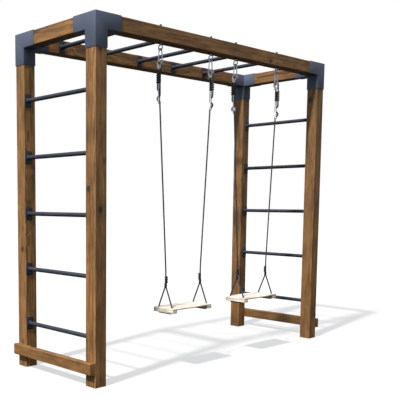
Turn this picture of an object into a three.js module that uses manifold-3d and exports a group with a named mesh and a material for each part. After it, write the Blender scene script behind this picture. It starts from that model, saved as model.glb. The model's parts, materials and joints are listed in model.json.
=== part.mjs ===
// A wooden play frame with monkey bars and two rope swings.
//
// Four square posts carry a top frame of the same timber, and a three-way steel sleeve holds each corner.
// Steel rungs make a ladder at each end, five steel bars cross the top, and a wooden rail ties each pair
// of posts at the foot. Two swings hang from eye bolts in the front beam. Each rope turns round a thimble
// in its carabiner. Its free strand ends in a flat length adjuster, and its long strand is threaded through
// the adjuster and goes down to the seat, where a second rope passes through the seat and back.
//
// Millimetres, Z up. The design frame has X along the long beams from the outer face of the left posts,
// Y from the outer face of the front posts to the back, and Z from the ground. The finished group is
// moved so that its origin is the middle of its bounding box, at ground level.

import * as THREE from 'three';
import { mergeVertices } from 'three/addons/utils/BufferGeometryUtils.js';
import Module from 'manifold-3d';

const wasm = await Module();
wasm.setup();

// --- Driving dimensions ---

const clearance = 0.3; // between pieces that touch
const overlap = 1; // how far shapes run into or past each other before they are joined or cut

// Timber frame
const frameLength = 2430;
const frameDepth = 810;
const frameHeight = 2226;
const timber = 90; // side of the square section
const arris = 4; // rounding of the timber's long edges

// Rails at the foot of the posts
const railThickness = 40;
const railHeight = 72;
const railBottom = 84;

// Steel sleeves on the corners
const sleeveWall = 2.7;
const sleeveArm = 202; // from the frame's corner along each beam
const sleeveLeg = 200; // from the frame's top down the post

// Round steel bars, with a plate welded on each end
const barDiameter = 28;
const barWall = 2;
const plateWidth = 50;
const plateMargin = 2; // of timber above and below a plate on a beam
const plateThickness = 4;

// Ladder rungs
const rungCount = 5;
const firstRung = 303; // height of the lowest rung
const topRung = 341; // of the highest rung below the beams
const rungInset = 31; // from the outer face of the posts

// Monkey bars
const barCount = 5;
const firstBar = 318; // from the outer face of the left posts
const lastBar = 624; // from the outer face of the right posts

// Swings under the front beam
const swingOffset = 382.5; // of each swing's middle from the middle of the frame
const eyeSpacing = 493.5;

// Eye bolts
const boltDiameter = 10;
const boltPlay = 1; // in the beam's bore, across the bolt
const eyeDiameter = 41; // over the ring
const eyeWire = 8;
const eyeDrop = 30; // from the beam's underside to the middle of the ring
const washerDiameter = 24;
const washerThickness = 3;
const nutAcrossCorners = 19;
const nutHeight = 9;
const capDiameter = 16;
const capHeight = 12; // of the nut's round cap, above its hexagon

// Carabiners, pear shaped with the wide end down
const hookWire = 8;
const hookHeight = 99; // over the wire
const hookTop = 32; // width over the top bend
const hookBottom = 44; // width over the bottom bend
const gateDiameter = 6.6;
const gateLength = 42;
const gateGap = 1; // between each end of the gate and the hook

// Rope, and its loop from the thimble down to the adjuster
const ropeDiameter = 10;
const ropePlay = 2.6; // in the holes that the rope goes through, across the rope
const thimbleWall = 3;
const strandSpacing = 23; // between the long strand and the free one
const thimbleLean = 3; // of the thimble towards the free strand
const freeEndDrop = 260; // from the hinge axis to the free strand's end in the adjuster
const freeEndBend = 12; // radius of the free strand's turn into the adjuster

// Length adjusters, a flat bar with three holes
const adjusterEdge = 2.7; // of bar left on each side of its holes
const adjusterLength = 130;
const adjusterThickness = 5;
const adjusterTopHole = 45; // from the bar's top end to its first hole
const adjusterMiddleHole = 81;
const adjusterBottomHole = 111;
const adjusterPlay = 0.5; // between the bar and the long strand

// Seats
const seatTop = 427;
const seatLength = 392;
const seatDepth = 175;
const boardThickness = 12;
const boardRounding = 5; // of the board's long top edges
const cleatWidth = 43;
const cleatHeight = 19;
const seatRopeSpacing = 349; // between the two cleats
const legSpacing = 118; // between the rope's two holes in a cleat
const pivotHeight = 562; // where a seat's rope comes together, and the axis that the seat tilts on
const legBend = 7; // radius of the rope's turn under the cleat

// --- Sizes that follow ---

const innerDepth = frameDepth - 2 * timber;
const beamMiddle = frameHeight - timber / 2;
const beamUnderside = frameHeight - timber;
const beamAxis = timber / 2; // of the front beam, from its outer face
const rungPitch = (beamUnderside - topRung - firstRung) / (rungCount - 1);
const barPitch = (frameLength - lastBar - firstBar) / (barCount - 1);
const eyeRing = (eyeDiameter - eyeWire) / 2;
const hingeHeight = beamUnderside - eyeDrop - eyeRing + (eyeWire + hookWire) / 2 + 0.5;
const plateHeight = timber - 2 * plateMargin;
const boltHole = boltDiameter + boltPlay;
const ropeRadius = ropeDiameter / 2;
const ropeHole = ropeDiameter + ropePlay;
const adjusterWidth = ropeHole + 2 * adjusterEdge;
const thimbleEye = 2 * hookWire;

// --- Materials ---

const materials = {
  timber: new THREE.MeshStandardMaterial({ color: 0x9a7048, roughness: 0.75, metalness: 0 }),
  sleeve: new THREE.MeshStandardMaterial({ color: 0x4a525f, roughness: 0.45, metalness: 0.6 }),
  bar: new THREE.MeshStandardMaterial({ color: 0x3f424b, roughness: 0.5, metalness: 0.5 }),
  zinc: new THREE.MeshStandardMaterial({ color: 0xb4b7ba, roughness: 0.35, metalness: 0.9 }),
  bolt: new THREE.MeshStandardMaterial({ color: 0x4b4e54, roughness: 0.4, metalness: 0.8 }),
  rope: new THREE.MeshStandardMaterial({ color: 0x43474a, roughness: 0.95, metalness: 0 }),
  plastic: new THREE.MeshStandardMaterial({ color: 0xe6e4e6, roughness: 0.5, metalness: 0 }),
  seat: new THREE.MeshStandardMaterial({ color: 0xf1e4cf, roughness: 0.6, metalness: 0 }),
};

// --- Geometry helpers ---

// Leaves only merged positions, with the faces pointing out.
function closed(geometry) {
  geometry.deleteAttribute('normal');
  geometry.deleteAttribute('uv');
  const merged = mergeVertices(geometry, 1e-4);
  const at = merged.getAttribute('position');
  const index = merged.getIndex();
  const [a, b, c] = [new THREE.Vector3(), new THREE.Vector3(), new THREE.Vector3()];
  const faces = [];
  let volume = 0;
  for (let i = 0; i < index.count; i += 3) {
    const face = [index.getX(i), index.getX(i + 1), index.getX(i + 2)];
    if (new Set(face).size < 3) continue;
    a.fromBufferAttribute(at, face[0]);
    b.fromBufferAttribute(at, face[1]);
    c.fromBufferAttribute(at, face[2]);
    volume += a.dot(b.cross(c));
    faces.push(face);
  }
  if (volume < 0) faces.forEach((face) => face.reverse());
  merged.setIndex(faces.flat());
  return merged;
}

function toSolid(geometry) {
  const clean = closed(geometry);
  return new wasm.Manifold(
    new wasm.Mesh({
      numProp: 3,
      vertProperties: new Float32Array(clean.getAttribute('position').array),
      triVerts: new Uint32Array(clean.getIndex().array),
    }),
  );
}

// Joins the first list of shapes and cuts the second list out of them.
function build(added, removed = []) {
  let solid = added.map(toSolid).reduce((all, next) => all.add(next));
  for (const shape of removed) solid = solid.subtract(toSolid(shape));
  const mesh = solid.getMesh();
  const geometry = new THREE.BufferGeometry();
  geometry.setAttribute('position', new THREE.BufferAttribute(mesh.vertProperties, 3));
  geometry.setIndex(Array.from(mesh.triVerts));
  return geometry;
}

// A block between two corners given in any order.
function block([x0, x1], [y0, y1], [z0, z1]) {
  const shape = new THREE.BoxGeometry(Math.abs(x1 - x0), Math.abs(y1 - y0), Math.abs(z1 - z0));
  return shape.translate((x0 + x1) / 2, (y0 + y1) / 2, (z0 + z1) / 2);
}

// A round or many-sided rod along Z.
function rod(diameter, bottom, top, sides) {
  const shape = new THREE.CylinderGeometry(diameter / 2, diameter / 2, top - bottom, sides);
  return shape.rotateX(Math.PI / 2).translate(0, 0, (bottom + top) / 2);
}

// A rectangle centred on the origin, each corner rounded by its own radius, from the top right round.
function roundedRectangle(width, height, [topRight, topLeft, bottomLeft, bottomRight]) {
  const [x, y] = [width / 2, height / 2];
  const shape = new THREE.Shape();
  shape.moveTo(x, y - topRight);
  if (topRight) shape.absarc(x - topRight, y - topRight, topRight, 0, Math.PI / 2);
  shape.lineTo(topLeft - x, y);
  if (topLeft) shape.absarc(topLeft - x, y - topLeft, topLeft, Math.PI / 2, Math.PI);
  shape.lineTo(-x, bottomLeft - y);
  if (bottomLeft) shape.absarc(bottomLeft - x, bottomLeft - y, bottomLeft, Math.PI, Math.PI * 1.5);
  shape.lineTo(x - bottomRight, -y);
  if (bottomRight) shape.absarc(x - bottomRight, bottomRight - y, bottomRight, Math.PI * 1.5, Math.PI * 2);
  return shape;
}

// A length of timber along Z with its long edges rounded, centred on the Z axis.
function timberBar(width, height, length) {
  const section = roundedRectangle(width, height, [arris, arris, arris, arris]);
  const settings = { depth: length, bevelEnabled: false, curveSegments: 3 };
  return new THREE.ExtrudeGeometry(section, settings);
}

// A curve that is divided at its own points, so that a straight stretch needs no extra steps.
class PointByPoint extends THREE.CatmullRomCurve3 {
  getUtoTmapping(u) {
    return u;
  }
}

// A round wire or rope through the given points.
function tube(points, diameter, sides = 8) {
  const section = new THREE.Shape();
  for (let i = 0; i < sides; i++) {
    const angle = (i / sides) * Math.PI * 2;
    const corner = [Math.cos(angle) * diameter / 2, Math.sin(angle) * diameter / 2];
    if (i === 0) section.moveTo(...corner);
    else section.lineTo(...corner);
  }
  const settings = { steps: points.length - 1, extrudePath: new PointByPoint(points), bevelEnabled: false };
  return closed(new THREE.ExtrudeGeometry(section, settings));
}

// Points on an arc about a middle, each turned by at most 30 degrees. place() puts [across, up] in space.
function arc([across, up], radius, from, to, place) {
  const steps = Math.ceil(Math.abs(to - from) / 30);
  return Array.from({ length: steps + 1 }, (_, i) => {
    const angle = THREE.MathUtils.degToRad(from + ((to - from) * i) / steps);
    return place(across + radius * Math.cos(angle), up + radius * Math.sin(angle));
  });
}

function addMesh(parent, name, geometry, material, [x, y, z] = [0, 0, 0], turn = [0, 0, 0]) {
  const mesh = new THREE.Mesh(geometry.index ? geometry : closed(geometry), material);
  mesh.name = name;
  mesh.position.set(x, y, z);
  mesh.rotation.set(...turn);
  parent.add(mesh);
}

const alongX = [0, Math.PI / 2, 0];
const alongY = [-Math.PI / 2, 0, 0];

// --- Timber frame ---

const ends = { left: 0, right: frameLength };
const sides = { front: 0, back: frameDepth };
const inward = (edge) => (edge === 0 ? 1 : -1); // from an outer face towards the middle

const swings = {
  left: frameLength / 2 - swingOffset,
  right: frameLength / 2 + swingOffset,
};
const eyes = Object.values(swings).flatMap((middle) => [middle - eyeSpacing / 2, middle + eyeSpacing / 2]);

function addTimberFrame(group) {
  for (const [side, y] of Object.entries(sides)) {
    const axisY = y + (inward(y) * timber) / 2;
    for (const [end, x] of Object.entries(ends)) {
      const axisX = x + (inward(x) * timber) / 2;
      const post = closed(timberBar(timber, timber, frameHeight));
      addMesh(group, `post_${side}_${end}`, post, materials.timber, [axisX, axisY, 0]);
    }
    // A long beam runs between the posts, and the front one is bored upright for the eye bolts.
    const start = timber + clearance;
    const beam = timberBar(timber, timber, frameLength - 2 * start);
    const bores = eyes.map((x) =>
      rod(boltHole, -timber / 2 - overlap, timber / 2 + overlap, 12).rotateY(Math.PI / 2).translate(0, 0, x - start),
    );
    const geometry = build([beam], side === 'front' ? bores : []);
    addMesh(group, `beam_${side}`, geometry, materials.timber, [start, axisY, beamMiddle], alongX);
  }
  for (const [end, x] of Object.entries(ends)) {
    const axisX = x + (inward(x) * timber) / 2;
    const endBeam = closed(timberBar(timber, timber, innerDepth - 2 * clearance));
    addMesh(group, `end_beam_${end}`, endBeam, materials.timber, [axisX, timber + clearance, beamMiddle], alongY);

    const railX = x - inward(x) * (clearance + railThickness / 2);
    const rail = closed(timberBar(railThickness, railHeight, frameDepth));
    addMesh(group, `foot_rail_${end}`, rail, materials.timber, [railX, 0, railBottom + railHeight / 2], alongY);
  }
}

// A sleeve wraps the post and both beams on all their sides, and closes over the corner.
function sleeve(towardsX, towardsY) {
  const branches = (skin, extra) => {
    const across = [-skin, timber + skin];
    const [x, y] = [across.map((v) => v * towardsX), across.map((v) => v * towardsY)];
    const high = [skin, -timber - skin];
    return [
      block([-skin * towardsX, (sleeveArm + extra) * towardsX], y, high),
      block(x, [-skin * towardsY, (sleeveArm + extra) * towardsY], high),
      block(x, y, [skin, -sleeveLeg - extra]),
    ];
  };
  return build(branches(clearance + sleeveWall, 0), branches(clearance, overlap));
}

function addSleeves(group) {
  for (const [side, y] of Object.entries(sides)) {
    for (const [end, x] of Object.entries(ends)) {
      const geometry = sleeve(inward(x), inward(y));
      addMesh(group, `corner_sleeve_${side}_${end}`, geometry, materials.sleeve, [x, y, frameHeight]);
    }
  }
}

// --- Rungs and monkey bars ---

// A tube along Z that runs through a plate at each end, so that it stays open.
function crossBar() {
  const length = innerDepth - 2 * clearance;
  const [x, y] = [[-plateWidth / 2, plateWidth / 2], [-plateHeight / 2, plateHeight / 2]];
  return build(
    [
      rod(barDiameter, 0, length, 16),
      block(x, y, [0, plateThickness]),
      block(x, y, [length - plateThickness, length]),
    ],
    [rod(barDiameter - 2 * barWall, -overlap, length + overlap, 16)],
  );
}

function addBars(group) {
  const y = timber + clearance;
  for (const [end, x] of Object.entries(ends)) {
    for (let i = 0; i < rungCount; i++) {
      const place = [x + inward(x) * rungInset, y, firstRung + i * rungPitch];
      addMesh(group, `rung_${end}_${i + 1}`, crossBar(), materials.bar, place, alongY);
    }
  }
  for (let i = 0; i < barCount; i++) {
    addMesh(group, `monkey_bar_${i + 1}`, crossBar(), materials.bar, [firstBar + i * barPitch, y, beamMiddle], alongY);
  }
}

// --- Swing hardware ---

// Each piece on a rope is drawn about the point where the carabiner hangs in its eye.

// The eye faces along the beam, and its shank goes up through the beam to a cap nut on a washer.
function eyeBolt() {
  const underside = beamUnderside - hingeHeight - clearance;
  const top = frameHeight - hingeHeight + clearance;
  const ring = new THREE.TorusGeometry(eyeRing, eyeWire / 2, 8, 20).rotateY(Math.PI / 2);
  const ringMiddle = beamUnderside - eyeDrop - hingeHeight;
  const hexagonTop = top + washerThickness + nutHeight;
  const capStraight = capHeight - capDiameter / 2;
  const dome = new THREE.LatheGeometry(
    [
      new THREE.Vector2(0, 0),
      new THREE.Vector2(capDiameter / 2, 0),
      ...Array.from({ length: 5 }, (_, i) => {
        const angle = (i / 4) * (Math.PI / 2);
        const across = i === 4 ? 0 : Math.cos(angle);
        return new THREE.Vector2((across * capDiameter) / 2, capStraight + (Math.sin(angle) * capDiameter) / 2);
      }),
    ],
    12,
  ).rotateX(Math.PI / 2);
  return build([
    ring.translate(0, 0, ringMiddle),
    rod(boltDiameter, ringMiddle + eyeRing - overlap, hexagonTop, 12),
    rod(washerDiameter, underside - washerThickness, underside, 12),
    rod(washerDiameter, top, top + washerThickness, 12),
    rod(nutAcrossCorners, top + washerThickness - 0.01, hexagonTop, 6),
    dome.translate(0, 0, hexagonTop - 0.01),
  ]);
}

// The wire's two bends are arcs, and straight tangents join them. The gate fills part of the left one.
const hook = (() => {
  const place = (x, z) => new THREE.Vector3(x, 0, z);
  const [top, bottom] = [hookTop, hookBottom].map((width) => (width - hookWire) / 2);
  const topMiddle = [0, -top];
  const bottomMiddle = [0, hookWire - hookHeight + bottom];
  const slope = THREE.MathUtils.radToDeg(Math.asin((bottom - top) / (topMiddle[1] - bottomMiddle[1])));
  const over = arc(topMiddle, top, 180 - slope, slope, place);
  const under = arc(bottomMiddle, bottom, slope, -180 - slope, place);
  const sideTop = over[0];
  const sideBottom = under[under.length - 1];
  const side = new THREE.Vector3().subVectors(sideTop, sideBottom);
  const spare = (side.length() - gateLength) / 2;
  const along = side.clone().normalize();
  const pivot = sideBottom.clone().addScaledVector(along, spare);
  const tip = sideTop.clone().addScaledVector(along, -spare);
  const lowerEnd = pivot.clone().addScaledVector(along, -gateGap);
  const upperEnd = tip.clone().addScaledVector(along, gateGap);
  return { points: [upperEnd, ...over, ...under, lowerEnd], pivot, tip, along };
})();

function carabiner() {
  return tube(hook.points, hookWire);
}

function gate() {
  const radius = gateDiameter / 2;
  const ends = [hook.pivot.clone(), hook.tip.clone()];
  const rounded = new THREE.CapsuleGeometry(radius, ends[0].distanceTo(ends[1]) - gateDiameter, 3, 8);
  const middle = ends[0].add(ends[1]).multiplyScalar(0.5);
  const turn = new THREE.Quaternion().setFromUnitVectors(new THREE.Vector3(0, 1, 0), hook.along);
  return rounded.applyQuaternion(turn).translate(middle.x, middle.y, middle.z);
}

// free is 1 where a rope's free strand hangs behind its long strand, and -1 where it hangs in front.
const thimblePlay = (thimbleEye - hookWire) / 2 - clearance; // how far the wire may be from the eye's middle
const thimbleMiddle = hookWire - hookHeight - Math.sqrt(thimblePlay ** 2 - thimbleLean ** 2);
const adjusterMiddle = ropeRadius + adjusterPlay + adjusterThickness / 2; // across from the long strand
const adjusterTop = adjusterTopHole - freeEndDrop;

function adjuster(free) {
  const shape = roundedRectangle(adjusterWidth, adjusterLength, Array(4).fill(adjusterWidth / 2 - 1));
  for (const fromTop of [adjusterTopHole, adjusterMiddleHole, adjusterBottomHole]) {
    const hole = new THREE.Path();
    hole.absarc(0, adjusterLength / 2 - fromTop, ropeHole / 2, 0, Math.PI * 2, true);
    shape.holes.push(hole);
  }
  const bar = new THREE.ExtrudeGeometry(shape, { depth: adjusterThickness, bevelEnabled: false, curveSegments: 8 });
  bar.translate(0, 0, -adjusterThickness / 2).rotateX(Math.PI / 2);
  return closed(bar.translate(0, adjusterMiddle * free, adjusterTop - adjusterLength / 2));
}

// The rope starts in the adjuster's top hole, goes up and round the thimble, comes down under the eye,
// weaves through the adjuster's other two holes and hangs from there to the seat's clamp.
function swingRope(free, inwards) {
  const place = (across, up, x = 0) => new THREE.Vector3(x, across * free, up);
  const [middleHole, bottomHole] = [adjusterMiddleHole, adjusterBottomHole].map((down) => adjusterTop - down);
  const thimbleRadius = thimbleEye / 2 + thimbleWall + ropeRadius;
  const weave = (middleHole - bottomHole) / 2;
  const turn = adjusterMiddle - 1;
  const belowThimble = thimbleMiddle - 46;
  const seatX = (inwards * (eyeSpacing - seatRopeSpacing)) / 2;
  const end = pivotHeight - hingeHeight + 4;
  return tube(
    [
      place(adjusterMiddle - adjusterThickness / 2 + clearance, -freeEndDrop),
      ...arc([strandSpacing - freeEndBend, freeEndBend - freeEndDrop], freeEndBend, -90, 0, place),
      place(strandSpacing, freeEndBend + 6 - freeEndDrop),
      place(strandSpacing, belowThimble),
      ...arc([thimbleLean, thimbleMiddle], thimbleRadius, -6, 196, place),
      place(0, belowThimble),
      place(0, middleHole + 3 * turn),
      ...arc([turn, middleHole + turn], turn, 180, 270, place),
      ...arc([adjusterMiddle + 1, (middleHole + bottomHole) / 2], weave, 90, -90, place),
      ...arc([turn, bottomHole - turn], turn, 90, 180, place),
      place(0, bottomHole - 2 * turn),
      place(0, bottomHole - 4 * turn),
      place(0, end + 110, seatX),
      place(0, end + 70, seatX),
      place(0, end, seatX),
    ],
    ropeDiameter,
  );
}

// --- Seats ---

// Two holes for the rope go down through each end of the seat's board and the cleat under it.
function ropeHoles(x, bottom, top) {
  return [-legSpacing / 2, legSpacing / 2].map((y) =>
    rod(ropeHole, bottom - overlap, top + overlap, 12).translate(x, y, 0),
  );
}

function seatBoard() {
  const underside = seatTop - boardThickness;
  const section = roundedRectangle(seatDepth, boardThickness, [boardRounding, boardRounding, 0, 0]);
  const board = new THREE.ExtrudeGeometry(section, { depth: seatLength, bevelEnabled: false, curveSegments: 3 });
  board.rotateX(Math.PI / 2).rotateZ(Math.PI / 2).translate(-seatLength / 2, 0, seatTop - boardThickness / 2);
  const holes = [-1, 1].flatMap((end) => ropeHoles((end * seatRopeSpacing) / 2, underside, seatTop));
  return build([board], holes);
}

function seatCleat() {
  const top = seatTop - boardThickness - clearance;
  const [x, y] = [cleatWidth, seatDepth].map((size) => [-size / 2, size / 2]);
  return build([block(x, y, [top - cleatHeight, top])], ropeHoles(0, top - cleatHeight, top));
}

// The rope comes down from both sides of the pivot, through the seat's holes and across under the cleat.
function seatRope() {
  const place = (across, up) => new THREE.Vector3(0, across, up);
  const leg = legSpacing / 2;
  const under = seatTop - boardThickness - cleatHeight - 2 * clearance - ropeRadius;
  const half = (side) => [
    place((ropeRadius + 0.5) * side, pivotHeight - 1),
    place((leg - 5) * side, seatTop + 18),
    place((leg - 0.5) * side, seatTop + 5),
    place(leg * side, seatTop - 6),
    ...arc([(leg - legBend) * side, under + legBend], legBend, side > 0 ? 0 : 180, side > 0 ? -90 : 270, place),
  ];
  return tube([...half(-1), ...half(1).reverse()], ropeDiameter);
}

function addSwing(group, name, middle) {
  addMesh(group, `seat_board_${name}`, seatBoard(), materials.seat, [middle, beamAxis, 0]);
  for (const [hand, inwards, free] of [['left', 1, 1], ['right', -1, -1]]) {
    const place = [middle - (inwards * eyeSpacing) / 2, beamAxis, hingeHeight];
    const label = `${name}_${hand}`;
    addMesh(group, `eye_bolt_${label}`, eyeBolt(), materials.bolt, place);
    addMesh(group, `carabiner_${label}`, carabiner(), materials.zinc, place);
    addMesh(group, `carabiner_gate_${label}`, closed(gate()), materials.zinc, place);
    addMesh(group, `rope_adjuster_${label}`, adjuster(free), materials.plastic, place);
    addMesh(group, `swing_rope_${label}`, swingRope(free, inwards), materials.rope, place);
    const seatX = middle - (inwards * seatRopeSpacing) / 2;
    addMesh(group, `seat_cleat_${label}`, seatCleat(), materials.seat, [seatX, beamAxis, 0]);
    addMesh(group, `seat_rope_${label}`, seatRope(), materials.rope, [seatX, beamAxis, 0]);
  }
}

// --- Assembly ---

const playFrame = new THREE.Group();
const skin = clearance + sleeveWall;
const frontmost = Math.min(-skin, beamAxis - seatDepth / 2);
playFrame.position.set(-frameLength / 2, -(frontmost + frameDepth + skin) / 2, 0);
addTimberFrame(playFrame);
addSleeves(playFrame);
addBars(playFrame);
for (const [name, middle] of Object.entries(swings)) addSwing(playFrame, name, middle);

export default playFrame;
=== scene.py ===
"""A timber play frame with steel monkey bars, two rung ladders and two rope swings.

The file follows the frame as it is put up: the place it stands in, the ropes, the timber, the corner
sleeves, the bars, the swing hardware, the seats and the rails' screws. Metres, in the row frame.
"""

import json
import math

import bmesh
import bpy
from mathutils import Matrix, Vector


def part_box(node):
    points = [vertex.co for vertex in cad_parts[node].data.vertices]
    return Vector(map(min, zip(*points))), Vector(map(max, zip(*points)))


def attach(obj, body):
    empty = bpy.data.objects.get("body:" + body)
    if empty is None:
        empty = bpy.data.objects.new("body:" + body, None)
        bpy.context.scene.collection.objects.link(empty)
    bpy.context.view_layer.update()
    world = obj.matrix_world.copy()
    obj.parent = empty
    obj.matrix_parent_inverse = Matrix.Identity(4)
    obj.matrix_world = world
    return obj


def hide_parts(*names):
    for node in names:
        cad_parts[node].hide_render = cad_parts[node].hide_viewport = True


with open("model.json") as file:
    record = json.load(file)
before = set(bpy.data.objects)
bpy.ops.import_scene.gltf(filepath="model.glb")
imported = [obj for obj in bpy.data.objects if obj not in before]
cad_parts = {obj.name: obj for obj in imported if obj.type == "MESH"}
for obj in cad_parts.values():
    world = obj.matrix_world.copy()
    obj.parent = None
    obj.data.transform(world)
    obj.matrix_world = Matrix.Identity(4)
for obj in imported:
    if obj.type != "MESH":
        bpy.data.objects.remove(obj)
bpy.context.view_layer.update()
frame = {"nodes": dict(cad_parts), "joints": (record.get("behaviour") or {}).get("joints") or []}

# ---------------------------------------------------------------- camera, floor and light
# The frame stands on a plain white floor in a white room. It is seen from the front left at chest
# height, and a soft sun from the left leaves the front faces in shade.

frame_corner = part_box("post_front_left")[0]
eye_place = (frame_corner.x - 2.6586, frame_corner.y - 3.0682, 1.1355)
eye_turn = (math.radians(84.23), 0, math.radians(-40.37))
bpy.ops.object.camera_add(location=eye_place, rotation=eye_turn)
camera = bpy.context.object
camera.data.lens = 61.585
camera.data.shift_x = 0.2777
camera.data.shift_y = 0.1747
bpy.context.scene.camera = camera
bpy.context.scene.view_settings.view_transform = "Standard"


def put_nodes(tree, *kinds):
    return [tree.nodes.new("ShaderNode" + kind) for kind in kinds]


def link_up(tree, *pairs):
    for output, socket in pairs:
        tree.links.new(output, socket)


bpy.ops.mesh.primitive_plane_add(size=60, location=(0, 0, 0))
floor = bpy.context.object
floor.name = "floor"
floor_paint = bpy.data.materials.new("white_floor")
floor_paint.use_nodes = True
floor_tree = floor_paint.node_tree
floor_tree.nodes.remove(floor_tree.nodes["Principled BSDF"])
floor_ray, floor_matt, floor_glow, floor_sum, floor_dim, floor_mix = put_nodes(
    floor_tree, "LightPath", "BsdfDiffuse", "Emission", "AddShader", "BsdfDiffuse", "MixShader"
)
# It glows a little, as if lit from below, so shadows on it stay pale. The frame sees a dim floor
# instead, so that little of that light comes back up to it.
floor_matt.inputs["Color"].default_value = (0.27, 0.27, 0.27, 1)
floor_glow.inputs["Strength"].default_value = 0.56
floor_dim.inputs["Color"].default_value = (0.032, 0.029, 0.025, 1)
link_up(
    floor_tree,
    (floor_matt.outputs[0], floor_sum.inputs[0]),
    (floor_glow.outputs[0], floor_sum.inputs[1]),
    (floor_ray.outputs["Is Camera Ray"], floor_mix.inputs[0]),
    (floor_dim.outputs[0], floor_mix.inputs[1]),
    (floor_sum.outputs[0], floor_mix.inputs[2]),
    (floor_mix.outputs[0], floor_tree.nodes["Material Output"].inputs["Surface"]),
)
floor.data.materials.append(floor_paint)

# The room is white to look at, and lights the frame softly, more from above and the left.
room = bpy.data.worlds.new("white_room")
room.use_nodes = True
room_tree = room.node_tree
room_light = room_tree.nodes["Background"]
room_ray, room_white, room_mix, room_place, room_split, room_height, room_side, room_sum = put_nodes(
    room_tree,
    *("LightPath", "Background", "MixShader", "TexCoord", "SeparateXYZ", "MapRange", "MapRange", "Math"),
)
room_light.inputs["Color"].default_value = (0.90, 0.95, 1.0, 1)
room_white.inputs["Color"].default_value = (1, 1, 1, 1)
by_height = {"From Min": -0.2, "From Max": 1.0, "To Min": 0.36, "To Max": 0.60}
by_side = {"From Min": -1.0, "From Max": 1.0, "To Min": 0.30, "To Max": 0.0}
for node, strengths in ((room_height, by_height), (room_side, by_side)):
    for name, value in strengths.items():
        node.inputs[name].default_value = value
room_sum.operation = "ADD"
link_up(
    room_tree,
    (room_place.outputs["Generated"], room_split.inputs[0]),
    (room_split.outputs["Z"], room_height.inputs["Value"]),
    (room_split.outputs["X"], room_side.inputs["Value"]),
    (room_height.outputs["Result"], room_sum.inputs[0]),
    (room_side.outputs["Result"], room_sum.inputs[1]),
    (room_sum.outputs[0], room_light.inputs["Strength"]),
    (room_ray.outputs["Is Camera Ray"], room_mix.inputs[0]),
    (room_light.outputs[0], room_mix.inputs[1]),
    (room_white.outputs[0], room_mix.inputs[2]),
    (room_mix.outputs[0], room_tree.nodes["World Output"].inputs["Surface"]),
)
bpy.context.scene.world = room

bpy.ops.object.light_add(type="SUN", location=(-4, -2, 5))
sun = bpy.context.object
sun.data.energy = 5.2
sun.data.angle = math.radians(3.4)
sun.data.color = (1.0, 0.97, 0.93)
sun_from = Vector((-0.762, -0.135, 1.0))
sun.rotation_euler = sun_from.to_track_quat("Z", "Y").to_euler()

# ---------------------------------------------------------------- ropes
# Three-strand rope, 10 mm thick, charcoal polypropylene. Each starts in its adjuster's top hole, goes
# up round the thimble, comes down through the two lower holes and ends in the clamp over the seat. A
# short rope runs on from there through the seat, across under its cleat and back up.

ROPE = 0.010
ROPE_LAY = 0.034  # along the rope for one full turn of a strand
ROPE_STEP = 0.0024  # from ring to ring of its skin
ROPE_CLEAR = 0.0003  # between the rope and the face it lies under
YARN = 0.0009


def socket_in(group, name, kind, value=None):
    socket = group.interface.new_socket(name, in_out="INPUT", socket_type=kind)
    if value is not None:
        socket.default_value = value
    return socket


def feed(tree, socket, value):
    """Sets a socket to a number or a colour, or links it to another node's output."""
    if isinstance(value, (int, float, tuple)):
        socket.default_value = value
    else:
        tree.links.new(value, socket)


def maths(tree, operation, *values):
    node = tree.nodes.new("ShaderNodeMath")
    node.operation = operation
    for socket, value in zip(node.inputs, values):
        feed(tree, socket, value)
    return node.outputs[0]


def mix_colours(tree, amount, first, second, blend="MIX"):
    node = tree.nodes.new("ShaderNodeMix")
    node.data_type = "RGBA"
    node.blend_type = blend
    for number, value in ((0, amount), (6, first), (7, second)):
        feed(tree, node.inputs[number], value)
    return node.outputs[2]


def noise(tree, vector, scale, detail=3.0, roughness=0.5):
    node = tree.nodes.new("ShaderNodeTexNoise")
    node.inputs["Scale"].default_value = scale
    node.inputs["Detail"].default_value = detail
    node.inputs["Roughness"].default_value = roughness
    tree.links.new(vector, node.inputs["Vector"])
    return node.outputs["Fac"]


def ramp(tree, value, low, high, to_low=0.0, to_high=1.0):
    node = tree.nodes.new("ShaderNodeMapRange")
    node.interpolation_type = "SMOOTHSTEP"
    for name, number in (("From Min", low), ("From Max", high), ("To Min", to_low), ("To Max", to_high)):
        node.inputs[name].default_value = number
    tree.links.new(value, node.inputs["Value"])
    return node.outputs["Result"]


def new_material(name):
    material = bpy.data.materials.new(name)
    material.use_nodes = True
    tree = material.node_tree
    return material, tree, tree.nodes["Principled BSDF"]


def bumped(tree, shader, height, distance, strength=1.0):
    bump = tree.nodes.new("ShaderNodeBump")
    bump.inputs["Strength"].default_value = strength
    bump.inputs["Distance"].default_value = distance
    tree.links.new(height, bump.inputs["Height"])
    tree.links.new(bump.outputs["Normal"], shader.inputs["Normal"])


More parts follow.
